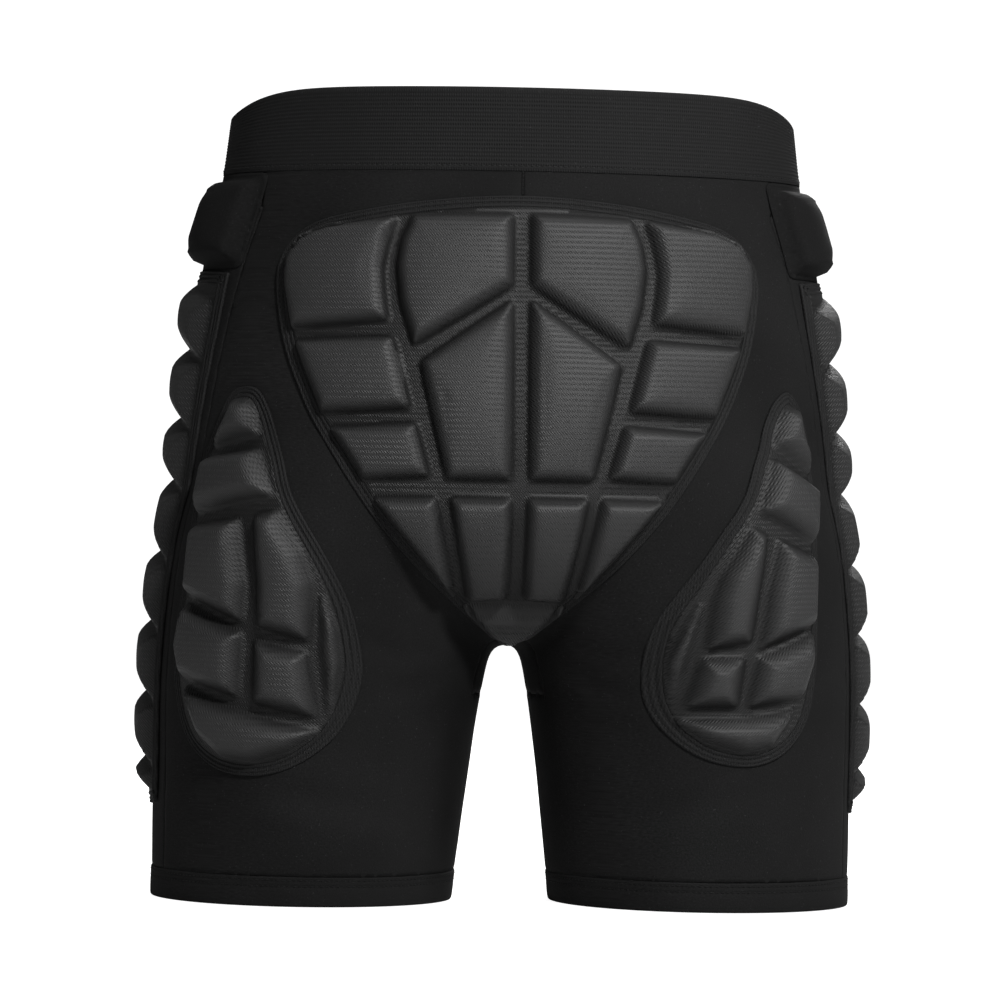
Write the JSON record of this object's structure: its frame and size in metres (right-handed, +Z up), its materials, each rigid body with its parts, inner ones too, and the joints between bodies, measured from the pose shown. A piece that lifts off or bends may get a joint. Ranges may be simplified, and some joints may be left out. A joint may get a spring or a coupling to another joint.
{
  "type": "padded impact shorts",
  "caption": "Close-fitting snow-sports shorts with a ribbed elastic waist and sewn-on segmented foam pads over the tailbone, thighs, hips and sides.",
  "frame": {"origin": "on the plane that the two leg hems stand on, below the middle of the whole width and depth", "axes": "+Z up to the waist, +Y the wearer's forward, +X the wearer's right"},
  "size_m": [0.383, 0.2433, 0.415],
  "materials": {
    "shell_jersey": "matte knit jersey",
    "hem_jersey": "matte double-folded jersey",
    "rib_elastic": "finely ribbed elastic",
    "thread": "soft sewing thread",
    "pad_backing": "knit border",
    "pad_foam": "knit-faced moulded foam",
    "hip_foam": "plain foam sheet",
    "pad_cover": "matte knit jersey"
  },
  "bodies": {
    "root": {"back_panel_left": "shell_jersey", "back_panel_right": "shell_jersey", "centre_back_seam": "thread", "crotch_gusset": "shell_jersey", "front_panel_left": "shell_jersey", "front_panel_right": "shell_jersey", "hem_thread_left": "thread", "hem_thread_right": "thread", "hip_pad_cover_left": "pad_cover", "hip_pad_cover_right": "pad_cover", "hip_pad_foam_left": "hip_foam", "hip_pad_foam_right": "hip_foam", "leg_hem_left": "hem_jersey", "leg_hem_right": "hem_jersey", "seat_pad_backing": "pad_backing", "seat_pad_foam": "pad_foam", "side_pad_backing_left": "pad_backing", "side_pad_backing_right": "pad_backing", "side_pad_foam_left": "pad_foam", "side_pad_foam_right": "pad_foam", "side_panel_left": "shell_jersey", "side_panel_right": "shell_jersey", "thigh_pad_backing_left": "pad_backing", "thigh_pad_backing_right": "pad_backing", "thigh_pad_foam_left": "pad_foam", "thigh_pad_foam_right": "pad_foam", "waistband": "rib_elastic", "waistband_seam_thread": "thread"}
  },
  "joints": []
}
